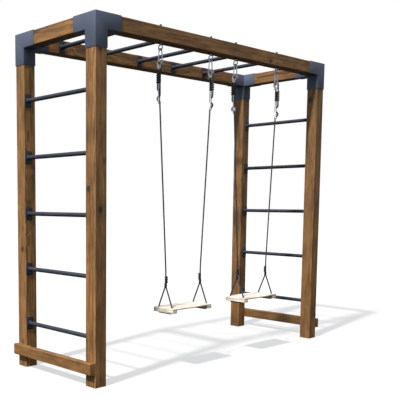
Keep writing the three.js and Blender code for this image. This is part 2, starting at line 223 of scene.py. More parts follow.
def rope_material():
    material, tree, shader = new_material("charcoal_rope")
    uv, split = put_nodes(tree, "UVMap", "SeparateXYZ")
    uv.uv_map = "rope"
    tree.links.new(uv.outputs[0], split.inputs[0])
    along, around = split.outputs[0], split.outputs[1]
    # Yarns run slantwise over each strand; fuzz and dust break them up.
    slant = maths(tree, "ADD", maths(tree, "DIVIDE", along, YARN * 3), maths(tree, "MULTIPLY", around, 24.0))
    yarn = maths(tree, "ABSOLUTE", maths(tree, "SINE", maths(tree, "MULTIPLY", slant, math.pi)))
    coordinates = put_nodes(tree, "TexCoord")[0].outputs["Object"]
    fuzz = noise(tree, coordinates, 900, 4, 0.7)
    dust = noise(tree, coordinates, 18, 3)
    dark = mix_colours(tree, yarn, (0.006, 0.008, 0.012, 1), (0.022, 0.027, 0.036, 1))
    worn = mix_colours(tree, ramp(tree, fuzz, 0.45, 0.8), dark, (0.045, 0.050, 0.060, 1))
    dusty = mix_colours(tree, ramp(tree, dust, 0.5, 0.8, 0, 0.2), worn, (0.06, 0.057, 0.055, 1))
    tree.links.new(dusty, shader.inputs["Base Color"])
    tree.links.new(ramp(tree, fuzz, 0.2, 0.8, 0.75, 0.95), shader.inputs["Roughness"])
    bumped(tree, shader, maths(tree, "ADD", yarn, maths(tree, "MULTIPLY", fuzz, 0.6)), 0.0004)
    shader.inputs["Sheen Weight"].default_value = 0.06
    shader.inputs["Sheen Roughness"].default_value = 0.6
    return material


rope_finish = rope_material()


def arc(middle, radius, start, end, place, step=12):
    """Points on an arc from one angle to another, in degrees, that place() puts in space."""
    count = math.ceil(abs(end - start) / step)
    angles = [math.radians(start + (end - start) * i / count) for i in range(count + 1)]
    return [place(middle[0] + radius * math.cos(a), middle[1] + radius * math.sin(a)) for a in angles]


def even_points(points, step):
    """The line through the points, smoothed where it bends, with points an even step apart."""
    dense = []
    padded = [2 * points[0] - points[1], *points, 2 * points[-1] - points[-2]]
    for before, start, end, after in zip(padded, padded[1:], padded[2:], padded[3:]):
        count = max(2, math.ceil((end - start).length / (step / 2)))
        reach = (end - start).length
        lean_in = (end - before).normalized() * reach
        lean_out = (after - start).normalized() * reach
        for i in range(count):
            t = i / count
            dense.append(
                start * (2 * t**3 - 3 * t**2 + 1)
                + lean_in * (t**3 - 2 * t**2 + t)
                + end * (3 * t**2 - 2 * t**3)
                + lean_out * (t**3 - t**2)
            )
    dense.append(points[-1])
    lengths = [0.0]
    for a, b in zip(dense, dense[1:]):
        lengths.append(lengths[-1] + (b - a).length)
    count = math.ceil(lengths[-1] / step)
    line, i = [], 0
    for k in range(count + 1):
        target = lengths[-1] * k / count
        while i < len(dense) - 2 and lengths[i + 1] < target:
            i += 1
        share = (target - lengths[i]) / max(lengths[i + 1] - lengths[i], 1e-12)
        line.append(dense[i].lerp(dense[i + 1], min(share, 1.0)))
    return line


def heading(line, i):
    return (line[min(i + 1, len(line) - 1)] - line[max(i - 1, 0)]).normalized()


def skinned(name, rings, places=None):
    """A closed skin over rings of points. places, how far along each ring lies, gives it a rope's map."""
    work = bmesh.new()
    uv = work.loops.layers.uv.new("rope") if places else None
    rings = [[work.verts.new(point) for point in ring] for ring in rings]
    for i, (ring, following) in enumerate(zip(rings, rings[1:])):
        count = len(ring)
        for j in range(count):
            after = (j + 1) % count
            face = work.faces.new((ring[j], ring[after], following[after], following[j]))
            face.smooth = True
            if places:
                corners = ((i, j), (i, j + 1), (i + 1, j + 1), (i + 1, j))
                for loop, (step, turn) in zip(face.loops, corners):
                    loop[uv].uv = (places[step], turn / count)
    work.faces.new(rings[0][::-1])
    work.faces.new(rings[-1])
    bmesh.ops.recalc_face_normals(work, faces=work.faces)
    mesh = bpy.data.meshes.new(name)
    work.to_mesh(mesh)
    work.free()
    piece = bpy.data.objects.new(name, mesh)
    bpy.context.scene.collection.objects.link(piece)
    return piece


def sweep(name, line, section):
    """A closed skin round a line. section(distance along) gives the ring's points as (side, up) pairs."""
    along, rings, places = 0.0, [], []
    side = Vector((1, 0, 0))
    for i, point in enumerate(line):
        ahead = heading(line, i)
        side = (side - ahead * side.dot(ahead)).normalized()
        up = ahead.cross(side)
        if i:
            along += (point - line[i - 1]).length
        places.append(along)
        rings.append([point + side * u + up * v for u, v in section(along)])
    return skinned(name, rings, places)


def laid_section(distance):
    """The outline of three tightly twisted strands, turning as it goes along the rope."""
    turn = distance / ROPE_LAY * 2 * math.pi
    ring = []
    for j in range(24):
        angle = j / 24 * 2 * math.pi
        reach = ROPE / 2 * (0.92 + 0.11 * math.sqrt(abs(math.cos(1.5 * angle))))
        ring.append((reach * math.cos(angle + turn), reach * math.sin(angle + turn)))
    return ring


def laid_rope(name, points, body, node):
    line = even_points(points, ROPE_STEP)
    rope = sweep(name, line, laid_section)
    rope.data.materials.append(rope_finish)
    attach(rope, body)
    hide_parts(node)
    return rope, line


def centre(node):
    """The middle of a CAD node's box."""
    return [(low + high) / 2 for low, high in zip(*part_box(node))]


swing_names = ("left", "right")
# Which way along X the middle of the swing lies. A left rope has its free strand behind it, and a right
# rope in front, so the same sign serves for that along Y.
hands = {"left": 1, "right": -1}
pivots = {joint["name"]: joint["pos_m"] for joint in frame["joints"]}
PIVOT = pivots["seat_left_tilt"][2]
hooks = {}  # where each carabiner hangs in its eye
seat_ends = {}  # where along X its rope meets the seat
for swing in swing_names:
    for hand in hands:
        eye_x = centre(f"eye_bolt_{swing}_{hand}")[0]
        hooks[swing, hand] = Vector((eye_x, *pivots[f"swing_{swing}_pivot"][1:]))
        seat_ends[swing, hand] = centre(f"seat_rope_{swing}_{hand}")[0]

# Down to the adjuster, heights are from the hook's place in its eye, and across is from the long strand
# towards the free one.
STRANDS = 0.023
FREE_END_DROP = 0.260
FREE_END_BEND = 0.012
HOOK_BOTTOM = -0.091  # the middle of the hook's wire at its lowest
THIMBLE_LEAN = 0.003
THIMBLE_OFF_WIRE = 0.0037  # from the wire's middle to the thimble's
THIMBLE_RING = 0.016  # radius of the rope's turn round the thimble
THIMBLE_MIDDLE = HOOK_BOTTOM - math.sqrt(THIMBLE_OFF_WIRE**2 - THIMBLE_LEAN**2)
UNDER_THIMBLE = THIMBLE_MIDDLE - 0.046
ADJUSTER = 0.005  # thick
ADJUSTER_MIDDLE = 0.008
ADJUSTER_TOP = 0.045 - FREE_END_DROP
MIDDLE_HOLE, BOTTOM_HOLE = ADJUSTER_TOP - 0.081, ADJUSTER_TOP - 0.111
CLAMP_OVER_PIVOT = 0.074  # the seat clamp's top
SEAT_LEG = 0.059  # across from the rope's middle to where it goes through the seat
LEG_BEND = 0.007


def swing_route(hook, free, seat_x):
    """From the end in the adjuster, up round the thimble and down to the clamp over the seat."""

    def beside(across, up):
        return hook + Vector((0, across * free, up))

    def over_seat(height):
        return Vector((seat_x, hook.y, PIVOT + height))

    weave = (MIDDLE_HOLE - BOTTOM_HOLE) / 2
    turn = ADJUSTER_MIDDLE - 0.001
    return [
        beside(ADJUSTER_MIDDLE - ADJUSTER / 2 + 0.0003, -FREE_END_DROP),
        *arc((STRANDS - FREE_END_BEND, FREE_END_BEND - FREE_END_DROP), FREE_END_BEND, -90, 0, beside),
        beside(STRANDS, FREE_END_BEND + 0.006 - FREE_END_DROP),
        beside(STRANDS, UNDER_THIMBLE),
        *arc((THIMBLE_LEAN, THIMBLE_MIDDLE), THIMBLE_RING, -6, 196, beside),
        beside(0, UNDER_THIMBLE),
        beside(0, MIDDLE_HOLE + 3 * turn),
        *arc((turn, MIDDLE_HOLE + turn), turn, 180, 270, beside),
        *arc((ADJUSTER_MIDDLE + 0.001, (MIDDLE_HOLE + BOTTOM_HOLE) / 2), weave, 90, -90, beside),
        *arc((turn, BOTTOM_HOLE - turn), turn, 90, 180, beside),
        beside(0, BOTTOM_HOLE - 2 * turn),
        beside(0, BOTTOM_HOLE - 4 * turn),
        over_seat(CLAMP_OVER_PIVOT + 0.040),
        over_seat(CLAMP_OVER_PIVOT),
        over_seat(0.004),
    ]


def seat_route(hook, seat_x, seat_top, under):
    """From the clamp down through the seat, across under its cleat and back up to the clamp."""

    def across_seat(across, up):
        return Vector((seat_x, hook.y + across, up))

    def half(side):
        bend_middle = ((SEAT_LEG - LEG_BEND) * side, under + LEG_BEND)
        start, end = (0, -90) if side > 0 else (180, 270)
        return [
            across_seat(0.0055 * side, PIVOT - 0.001),
            across_seat((SEAT_LEG - 0.005) * side, seat_top + 0.018),
            across_seat((SEAT_LEG - 0.0005) * side, seat_top + 0.005),
            across_seat(SEAT_LEG * side, seat_top - 0.006),
            *arc(bend_middle, LEG_BEND, start, end, across_seat),
        ]

    return [*half(-1), *reversed(half(1))]


for (swing, hand), hook in hooks.items():
    seat_x = seat_ends[swing, hand]
    points = swing_route(hook, hands[hand], seat_x)
    rope, line = laid_rope(f"rope_{swing}_{hand}", points, f"swing_{swing}", f"swing_rope_{swing}_{hand}")
    seat_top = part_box(f"seat_board_{swing}")[1].z
    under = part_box(f"seat_cleat_{swing}_{hand}")[0].z - ROPE_CLEAR - ROPE / 2
    points = seat_route(hook, seat_x, seat_top, under)
    laid_rope(f"rope_through_seat_{swing}_{hand}", points, f"seat_{swing}", f"seat_rope_{swing}_{hand}")

# ---------------------------------------------------------------- timber
# Square pressure-treated pine with a warm brown stain. The grain runs along each length, knots darken
# it, and the stain is thinner on the arrises.

TIMBER = 0.090
RING_PITCH = 0.0062


def group_ends(group):
    """Gives a finish its outputs, and returns its input and output nodes."""
    for name, kind in (("Color", "Color"), ("Roughness", "Float"), ("Height", "Float")):
        group.interface.new_socket(name, in_out="OUTPUT", socket_type="NodeSocket" + kind)
    return group.nodes.new("NodeGroupInput"), group.nodes.new("NodeGroupOutput")


def pine_group():
    """Solid pine with the grain along X: rings about a pith, fibres, knots and paler worn arrises."""
    group = bpy.data.node_groups.new("pine", "ShaderNodeTree")
    socket_in(group, "Place", "NodeSocketVector")
    socket_in(group, "Piece", "NodeSocketFloat", 0.0)
    socket_in(group, "Half Width", "NodeSocketFloat", TIMBER / 2)
    socket_in(group, "Half Height", "NodeSocketFloat", TIMBER / 2)
    socket_in(group, "Ring Depth", "NodeSocketFloat", 0.7)
    socket_in(group, "Knot Size", "NodeSocketFloat", 0.12)
    socket_in(group, "Edge Wear", "NodeSocketFloat", 0.6)
    for colour in ("Early Wood", "Late Wood", "Knot", "Worn"):
        socket_in(group, colour, "NodeSocketColor")
    start, end = group_ends(group)
    piece, place = start.outputs["Piece"], start.outputs["Place"]

    split, shift, moved = put_nodes(group, "SeparateXYZ", "CombineXYZ", "VectorMath")
    group.links.new(place, split.inputs[0])
    for i, factor in enumerate((3.17, 0.73, 1.39)):
        group.links.new(maths(group, "MULTIPLY", piece, factor), shift.inputs[i])
    moved.operation = "ADD"
    group.links.new(place, moved.inputs[0])
    group.links.new(shift.outputs[0], moved.inputs[1])

    def stretched(x, y, z):
        scale = group.nodes.new("ShaderNodeVectorMath")
        scale.operation = "MULTIPLY"
        scale.inputs[1].default_value = (x, y, z)
        group.links.new(moved.outputs[0], scale.inputs[0])
        return scale.outputs[0]

    # About half of the cells hold a knot.
    knots = group.nodes.new("ShaderNodeTexVoronoi")
    knots.inputs["Scale"].default_value = 1.0
    group.links.new(stretched(6.5, 9.0, 9.0), knots.inputs["Vector"])
    chance = put_nodes(group, "SeparateColor")[0]
    group.links.new(knots.outputs["Color"], chance.inputs[0])
    no_knot = ramp(group, chance.outputs[0], 0.48, 0.49)
    knot_distance = maths(group, "ADD", knots.outputs["Distance"], no_knot)

    # Rings lie round a pith that wanders, and bend round the knots.
    pith_y = maths(group, "MULTIPLY", maths(group, "SINE", maths(group, "MULTIPLY", piece, 2.3)), 0.055)
    pith_z = maths(group, "MULTIPLY", maths(group, "COSINE", maths(group, "MULTIPLY", piece, 1.7)), 0.055)
    off_y = maths(group, "SUBTRACT", split.outputs[1], pith_y)
    off_z = maths(group, "SUBTRACT", split.outputs[2], pith_z)
    squares = maths(group, "ADD", maths(group, "POWER", off_y, 2.0), maths(group, "POWER", off_z, 2.0))
    radius = maths(group, "SQRT", squares)
    wander = maths(group, "MULTIPLY", noise(group, stretched(0.7, 4.0, 4.0), 1.0, 2), 0.040)
    waver = maths(group, "MULTIPLY", noise(group, stretched(5.0, 22.0, 22.0), 1.0, 2), 0.006)
    round_knots = maths(group, "MULTIPLY", ramp(group, knot_distance, 0.0, 0.45, 1.0, 0.0), 0.016)
    bends = maths(group, "ADD", waver, round_knots)
    ring_place = maths(group, "ADD", maths(group, "ADD", radius, wander), bends)
    phase = maths(group, "FRACT", maths(group, "DIVIDE", ring_place, RING_PITCH))
    late = maths(group, "MULTIPLY", ramp(group, phase, 0.25, 0.86), ramp(group, phase, 0.90, 1.0, 1.0, 0.0))

    fibre = noise(group, stretched(9.0, 330.0, 330.0), 1.0, 3, 0.6)
    streak = noise(group, stretched(2.4, 95.0, 95.0), 1.0, 4, 0.62)
    blotch = noise(group, stretched(4.5, 16.0, 16.0), 1.0, 4, 0.65)
    ring_mask = maths(group, "MULTIPLY", late, start.outputs["Ring Depth"])
    colour = mix_colours(group, ring_mask, start.outputs["Early Wood"], start.outputs["Late Wood"])
    streaked = ramp(group, streak, 0.46, 0.70, 0.0, 0.70)
    colour = mix_colours(group, streaked, colour, start.outputs["Late Wood"])
    fine = group.nodes.new("ShaderNodeCombineColor")
    shade = ramp(group, fibre, 0.25, 0.75, 0.62, 1.30)
    tone = maths(group, "MULTIPLY", shade, ramp(group, blotch, 0.3, 0.72, 1.28, 0.62))
    for i in range(3):
        group.links.new(tone, fine.inputs[i])
    colour = mix_colours(group, 1.0, colour, fine.outputs[0], "MULTIPLY")

    halo = maths(group, "MULTIPLY", start.outputs["Knot Size"], 2.3)
    near_knot = maths(group, "SUBTRACT", 1.0, maths(group, "DIVIDE", knot_distance, halo))
    swirl = maths(group, "MULTIPLY", ramp(group, near_knot, 0.0, 0.6), 0.55)
    colour = mix_colours(group, swirl, colour, start.outputs["Late Wood"])
    from_knot = maths(group, "DIVIDE", knot_distance, start.outputs["Knot Size"])
    knot = ramp(group, from_knot, 0.82, 1.08, 1.0, 0.0)
    colour = mix_colours(group, maths(group, "MULTIPLY", knot, 0.88), colour, start.outputs["Knot"])

    # The arrises, where the stain is rubbed thin
    near_y = maths(group, "DIVIDE", maths(group, "ABSOLUTE", split.outputs[1]), start.outputs["Half Width"])
    near_z = maths(group, "DIVIDE", maths(group, "ABSOLUTE", split.outputs[2]), start.outputs["Half Height"])
    edge = ramp(group, maths(group, "MINIMUM", near_y, near_z), 0.90, 0.985)
    patchy = ramp(group, noise(group, stretched(9.0, 40.0, 40.0), 1.0, 2), 0.3, 0.62)
    worn = maths(group, "MULTIPLY", maths(group, "MULTIPLY", edge, patchy), start.outputs["Edge Wear"])
    colour = mix_colours(group, worn, colour, start.outputs["Worn"])

    group.links.new(colour, end.inputs["Color"])
    roughness = ramp(group, maths(group, "ADD", late, fibre), 0.2, 1.6, 0.74, 0.52)
    group.links.new(roughness, end.inputs["Roughness"])
    height = maths(group, "ADD", maths(group, "MULTIPLY", late, 0.5), maths(group, "MULTIPLY", fibre, 0.6))
    height = maths(group, "SUBTRACT", height, maths(group, "MULTIPLY", knot, 0.4))
    group.links.new(height, end.inputs["Height"])
    return group


pine = pine_group()


def wood_material(name, low, high, grain, number, colours, **settings):
    """Pine for a piece that fills the box from low to high, with its grain along X, Y or Z."""
    material, tree, shader = new_material(name)
    coordinates, split, order, wood = put_nodes(tree, "TexCoord", "SeparateXYZ", "CombineXYZ", "Group")
    wood.node_tree = pine
    tree.links.new(coordinates.outputs["Object"], split.inputs[0])
    first = "XYZ".index(grain)
    axes = [first, (first + 1) % 3, (first + 2) % 3]
    for i, axis in enumerate(axes):
        centred = maths(tree, "SUBTRACT", split.outputs[axis], (low[axis] + high[axis]) / 2)
        tree.links.new(centred, order.inputs[i])
    tree.links.new(order.outputs[0], wood.inputs["Place"])
    wood.inputs["Piece"].default_value = number
    wood.inputs["Half Width"].default_value = (high[axes[1]] - low[axes[1]]) / 2
    wood.inputs["Half Height"].default_value = (high[axes[2]] - low[axes[2]]) / 2
    for socket, colour in zip(("Early Wood", "Late Wood", "Knot", "Worn"), colours):
        wood.inputs[socket].default_value = colour
    for socket, value in settings.items():
        wood.inputs[socket.replace("_", " ").title()].default_value = value
    tree.links.new(wood.outputs["Color"], shader.inputs["Base Color"])
    tree.links.new(wood.outputs["Roughness"], shader.inputs["Roughness"])
    bumped(tree, shader, wood.outputs["Height"], 0.0009, 0.6)
    return material


BROWN_STAIN = (
    (0.300, 0.146, 0.042, 1),  # early wood
    (0.072, 0.030, 0.009, 1),  # late wood
    (0.018, 0.009, 0.005, 1),  # knots
    (0.42, 0.25, 0.12, 1),  # worn arrises
)
RIGHT_HAND_PAINTED_SHADE = 0.80  # painted shade: the right-hand timbers are darkened a little, standing in for the light falling off across the frame
timber_grain = {"post": "Z", "beam": "X", "end": "Y", "foot": "Y"}
timbers = [n for n in frame["nodes"] if n.split("_")[0] in timber_grain]
for number, node in enumerate(sorted(timbers)):
    low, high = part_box(node)
    # Painted shade: the stain colours of the right-hand timbers are darkened.
    depth = RIGHT_HAND_PAINTED_SHADE if node.endswith("right") else 1.0
    stain = [(*(channel * depth for channel in colour[:3]), 1) for colour in BROWN_STAIN]
    grain = timber_grain[node.split("_")[0]]
    stained = wood_material(f"stain_{node}", low, high, grain, number + 1, stain)
    timber = frame["nodes"][node]
    timber.data.materials.clear()
    timber.data.materials.append(stained)

# ---------------------------------------------------------------- corner sleeves
# Folded steel sleeves, powder coated blue-grey. Each slips over a post and both beams at a corner, and
# pan-head screws through its outer walls hold the timber in it.

COAT_BLUE_GREY = (0.062, 0.079, 0.124, 1)
SLEEVE_FOLD = 0.0016
SLEEVE_WALL = 0.003


def coat_group():
    """Powder coat: fine orange peel, faint dust in patches, and small scuffs."""
    group = bpy.data.node_groups.new("powder_coat", "ShaderNodeTree")
    socket_in(group, "Place", "NodeSocketVector")
    socket_in(group, "Colour", "NodeSocketColor")
    socket_in(group, "Dust", "NodeSocketFloat", 0.2)
    start, end = group_ends(group)
    place = start.outputs["Place"]
    peel = noise(group, place, 650, 2, 0.5)
    drift = noise(group, place, 6, 3, 0.6)
    scuff = ramp(group, noise(group, place, 38, 5, 0.7), 0.58, 0.74)
    pale = mix_colours(group, 0.4, start.outputs["Colour"], (0.26, 0.29, 0.34, 1))
    dusty = maths(group, "MULTIPLY", start.outputs["Dust"], ramp(group, drift, 0.4, 0.75))
    colour = mix_colours(group, dusty, start.outputs["Colour"], pale)
    colour = mix_colours(group, maths(group, "MULTIPLY", scuff, 0.18), colour, pale)
    group.links.new(colour, end.inputs["Color"])
    satin = ramp(group, drift, 0.3, 0.7, 0.52, 0.60)
    scuffed = maths(group, "ADD", satin, maths(group, "MULTIPLY", scuff, 0.1))
    group.links.new(scuffed, end.inputs["Roughness"])
    group.links.new(peel, end.inputs["Height"])
    return group


powder_coat = coat_group()


def coated(name, colour, dust):
    material, tree, shader = new_material(name)
    coordinates, coat = put_nodes(tree, "TexCoord", "Group")
    coat.node_tree = powder_coat
    tree.links.new(coordinates.outputs["Object"], coat.inputs["Place"])
    coat.inputs["Colour"].default_value = colour
    coat.inputs["Dust"].default_value = dust
    tree.links.new(coat.outputs["Color"], shader.inputs["Base Color"])
    tree.links.new(coat.outputs["Roughness"], shader.inputs["Roughness"])
    bumped(tree, shader, coat.outputs["Height"], 0.00025, 0.5)
    shader.inputs["Coat Weight"].default_value = 0.05
    shader.inputs["Coat Roughness"].default_value = 0.25
    return material


sleeve_coat = coated("sleeve_coat", COAT_BLUE_GREY, 0.15)


def pick_only(*pieces):
    bpy.ops.object.select_all(action="DESELECT")
    for piece in pieces:
        piece.select_set(True)
    bpy.context.view_layer.objects.active = pieces[0]


def apply_modifier(piece, kind, **settings):
    modifier = piece.modifiers.new(kind.lower(), kind)
    for name, value in settings.items():
        setattr(modifier, name, value)
    pick_only(piece)
    bpy.ops.object.modifier_apply(modifier=modifier.name)


def smooth_below(piece, degrees):
    pick_only(piece)
    bpy.ops.object.shade_smooth_by_angle(angle=math.radians(degrees))


def soften(piece, width, segments=2):
    """Rounds a piece's sharp edges and shades it smooth between them."""
    sharp = math.radians(32)
    apply_modifier(piece, "BEVEL", width=width, segments=segments, limit_method="ANGLE", angle_limit=sharp)
    smooth_below(piece, 35)


def settle(piece):
    """Puts a piece's place, turn and size into its mesh."""
    pick_only(piece)
    bpy.ops.object.transform_apply(location=True, rotation=True, scale=True)


def added(primitive, **settings):
    """A new primitive on its own, with its size and place put into its mesh."""
    bpy.ops.object.select_all(action="DESELECT")
    primitive(**settings)
    piece = bpy.context.object
    settle(piece)
    return piece


def fix_piece(piece, name, body, material, slot_name, *nodes):
    piece.name = name
    piece.data.name = name
    piece.data.materials.clear()
    piece.data.materials.append(material)
    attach(piece, body)
    if nodes:
        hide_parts(*nodes)
    return piece


def copy_of_node(node):
    """A merged copy of a CAD node's mesh, with its flat faces whole."""
    piece = frame["nodes"][node].copy()
    piece.data = frame["nodes"][node].data.copy()
    for key in list(piece.keys()):
        del piece[key]
    piece.parent = None
    bpy.context.scene.collection.objects.link(piece)
    pick_only(piece)
    bpy.ops.object.mode_set(mode="EDIT")
    bpy.ops.mesh.select_all(action="SELECT")
    bpy.ops.mesh.remove_doubles(threshold=0.00001)
    bpy.ops.mesh.dissolve_limited(angle_limit=math.radians(1))
    bpy.ops.object.mode_set(mode="OBJECT")
    return piece


def pan_head_screw(radius=0.0055, height=0.0026):
    """A pan head with a round socket, standing on the XY plane."""
    cylinder = bpy.ops.mesh.primitive_cylinder_add
    head = added(cylinder, vertices=20, radius=radius, depth=height, location=(0, 0, height / 2))
    bpy.ops.object.mode_set(mode="EDIT")
    bpy.ops.mesh.select_mode(type="FACE")
    bpy.ops.mesh.select_all(action="DESELECT")
    work = bmesh.from_edit_mesh(head.data)
    for face in work.faces:
        face.select_set(face.normal.z > 0.9)
    bmesh.update_edit_mesh(head.data)
    bpy.ops.mesh.inset(thickness=radius * 0.45)
    bpy.ops.mesh.extrude_region_move(TRANSFORM_OT_translate={"value": (0, 0, -height * 0.55)})
    bpy.ops.object.mode_set(mode="OBJECT")
    soften(head, 0.0007)
    return head


def stamped(pattern, name, matrix):
    piece = bpy.data.objects.new(name, pattern.data.copy())
    piece.data.transform(matrix)
    bpy.context.scene.collection.objects.link(piece)
    return piece


def facing(place, direction):
    """A place matrix whose Z points along a direction."""
    return Matrix.Translation(place) @ Vector(direction).to_track_quat("Z", "Y").to_matrix().to_4x4()


def joined(name, pieces):
    pick_only(*pieces)
    bpy.ops.object.join()
    piece = bpy.context.view_layer.objects.active
    piece.name = name
    return piece


screw_pattern = pan_head_screw()
SLEEVE_SCREW_IN = 0.030  # from a sleeve's open edge
SLEEVE_SCREW_APART = 0.044
# The heads end just under the sleeve's face, because nothing may stand out of the frame's box.
SLEEVE_SCREW_SUNK = 0.0028
for side in ("front", "back"):
    for end in ("left", "right"):
        node = f"corner_sleeve_{side}_{end}"
        low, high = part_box(node)
        shell = copy_of_node(node)
        soften(shell, SLEEVE_FOLD)
        fix_piece(shell, f"sleeve_{side}_{end}", "frame", sleeve_coat, "sleeve", node)
        post_x, post_y, _ = centre(f"post_{side}_{end}")
        out_x = -1 if end == "left" else 1
        out_y = -1 if side == "front" else 1
        face_x = low.x if end == "left" else high.x
        face_y = low.y if side == "front" else high.y
        arm_x = (high.x if end == "left" else low.x) + out_x * SLEEVE_SCREW_IN
        arm_y = (high.y if side == "front" else low.y) + out_y * SLEEVE_SCREW_IN
        beam_z = high.z - SLEEVE_WALL - TIMBER / 2
        screws = []
        for shift in (-SLEEVE_SCREW_APART / 2, SLEEVE_SCREW_APART / 2):
            for place, out in (
                ((post_x + shift, face_y, low.z + SLEEVE_SCREW_IN), (0, out_y, 0)),
                ((face_x, post_y + shift, low.z + SLEEVE_SCREW_IN), (out_x, 0, 0)),
                ((arm_x, face_y, beam_z + shift), (0, out_y, 0)),
                ((face_x, arm_y, beam_z + shift), (out_x, 0, 0)),
            ):
                sunk = Vector(place) - Vector(out) * SLEEVE_SCREW_SUNK
                screws.append(stamped(screw_pattern, "screw", facing(sunk, out)))
        fix_piece(joined("screws", screws), f"sleeve_screws_{side}_{end}", "frame", sleeve_coat, "sleeve")

# ---------------------------------------------------------------- rungs and monkey bars
# Round steel tube, powder coated near black. Each end is welded to a flat plate, and two screws hold the
# plate to the timber.

COAT_GRAPHITE = (0.017, 0.021, 0.036, 1)
bar_coat = coated("bar_coat", COAT_GRAPHITE, 0.08)
BAR_RADIUS = 0.014
BAR_WALL = 0.002
PLATE = (0.050, 0.004, 0.086)  # wide, thick and high
PLATE_SCREWS = 0.062  # from one screw up to the other
WELD = 0.0035

rung_low, rung_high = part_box("rung_left_1")
bar_length = rung_high.y - rung_low.y


def plate_at(y):
    plate = added(bpy.ops.mesh.primitive_cube_add, size=1, location=(0, y, 0), scale=PLATE)
    # First the plate's four corners are rounded, and then every edge is broken.
    pick_only(plate)
    bpy.ops.object.mode_set(mode="EDIT")
    bpy.ops.mesh.select_mode(type="EDGE")
    bpy.ops.mesh.select_all(action="DESELECT")
    work = bmesh.from_edit_mesh(plate.data)
    for edge in work.edges:
        ends = [v.co for v in edge.verts]
        edge.select_set(abs(ends[0].y - ends[1].y) > PLATE[1] / 2)
    bmesh.update_edit_mesh(plate.data)
    bpy.ops.mesh.bevel(offset=0.006, segments=5)
    bpy.ops.object.mode_set(mode="OBJECT")
    soften(plate, 0.0006)
    return plate


def bar_tube():
    pipe = added(
        bpy.ops.mesh.primitive_cylinder_add,
        vertices=48,
        radius=BAR_RADIUS,
        depth=bar_length,
        location=(0, bar_length / 2, 0),
        rotation=(math.pi / 2, 0, 0),
        end_fill_type="NOTHING",
    )
    apply_modifier(pipe, "SOLIDIFY", thickness=BAR_WALL, offset=-1)
    smooth_below(pipe, 40)
    return pipe


def weld_bead(y):
    """A rippled fillet of weld where the tube meets its plate."""
    bead = added(
        bpy.ops.mesh.primitive_torus_add,
        location=(0, y, 0),
        rotation=(math.pi / 2, 0, 0),
        major_radius=BAR_RADIUS,
        minor_radius=WELD,
        major_segments=72,
        minor_segments=10,
    )
    for vertex in bead.data.vertices:
        around = math.atan2(vertex.co.z, vertex.co.x)
        ripple = 1 + 0.10 * math.sin(around * 18)
        ring = Vector((math.cos(around), 0, math.sin(around))) * BAR_RADIUS + Vector((0, y, 0))
        vertex.co = ring + (vertex.co - ring) * ripple
    bpy.ops.object.shade_smooth()
    return bead


bar_parts = [bar_tube()]
bar_screws = []
for y, outward in ((PLATE[1] / 2, 1), (bar_length - PLATE[1] / 2, -1)):
    bar_parts.append(plate_at(y))
    bar_parts.append(weld_bead(y + outward * PLATE[1] / 2))
    for z in (-PLATE_SCREWS / 2, PLATE_SCREWS / 2):
        place = (0, y + outward * (PLATE[1] / 2 - 0.0002), z)
        bar_screws.append(stamped(screw_pattern, "screw", facing(place, (0, outward, 0))))
bar_pattern = joined("bar_pattern", bar_parts)
bar_screw_pattern = joined("bar_screw_pattern", bar_screws)


def zinc_material(name, base, roughness, metallic=1.0):
    """Zinc plate: bright, faintly crystalline, with dull patches."""
    material, tree, shader = new_material(name)
    place = put_nodes(tree, "TexCoord")[0].outputs["Object"]
    cloud = noise(tree, place, 90, 3)
    fine = noise(tree, place, 1400, 2)
    pale = tuple(min(1.0, c * 1.25) for c in base[:3]) + (1,)
    tree.links.new(mix_colours(tree, ramp(tree, cloud, 0.35, 0.7), base, pale), shader.inputs["Base Color"])
    tree.links.new(ramp(tree, cloud, 0.3, 0.7, roughness, roughness + 0.14), shader.inputs["Roughness"])
    shader.inputs["Metallic"].default_value = metallic
    bumped(tree, shader, fine, 0.0001, 0.4)
    return material


dark_steel = zinc_material("dark_plated_steel", (0.085, 0.088, 0.098, 1), 0.38)
bar_nodes = [n for n in frame["nodes"] if n.startswith(("rung_", "monkey_bar_"))]
for node in sorted(bar_nodes):
    x, _, z = centre(node)
    place = Matrix.Translation((x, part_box(node)[0].y, z))
    fix_piece(stamped(bar_pattern, node, place), f"steel_{node}", "frame", bar_coat, "bar", node)
    fix_piece(stamped(bar_screw_pattern, node, place), f"screws_{node}", "frame", dark_steel, "bolt")

# ---------------------------------------------------------------- swing hardware
# Forged eye bolts, zinc plated spring hooks, pressed thimbles, ribbed rubber clamps and moulded
# adjusters. Each is made once about the point where the hook hangs in its eye, and copied to the ropes.

first_hook = hooks["left", "left"]
beam_low, beam_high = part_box("beam_front")
beam_under = beam_low.z - first_hook.z
beam_top = beam_high.z - first_hook.z
EYE_RING = 0.0165
EYE_WIRE = 0.004
EYE_SHANK = 0.005
EYE_COLLAR = 0.0075
WASHER, WASHER_RADIUS = 0.003, 0.012
CLEAR = 0.0003  # between the beam and a washer
NUT, NUT_RADIUS = 0.009, 0.0095
NUT_DOME = 0.0079
RING_MIDDLE = beam_under - 0.030


def rod_along_z(radius, bottom, top, sides=32):
    cylinder = bpy.ops.mesh.primitive_cylinder_add
    middle = (0, 0, (bottom + top) / 2)
    return added(cylinder, vertices=sides, radius=radius, depth=top - bottom, location=middle)


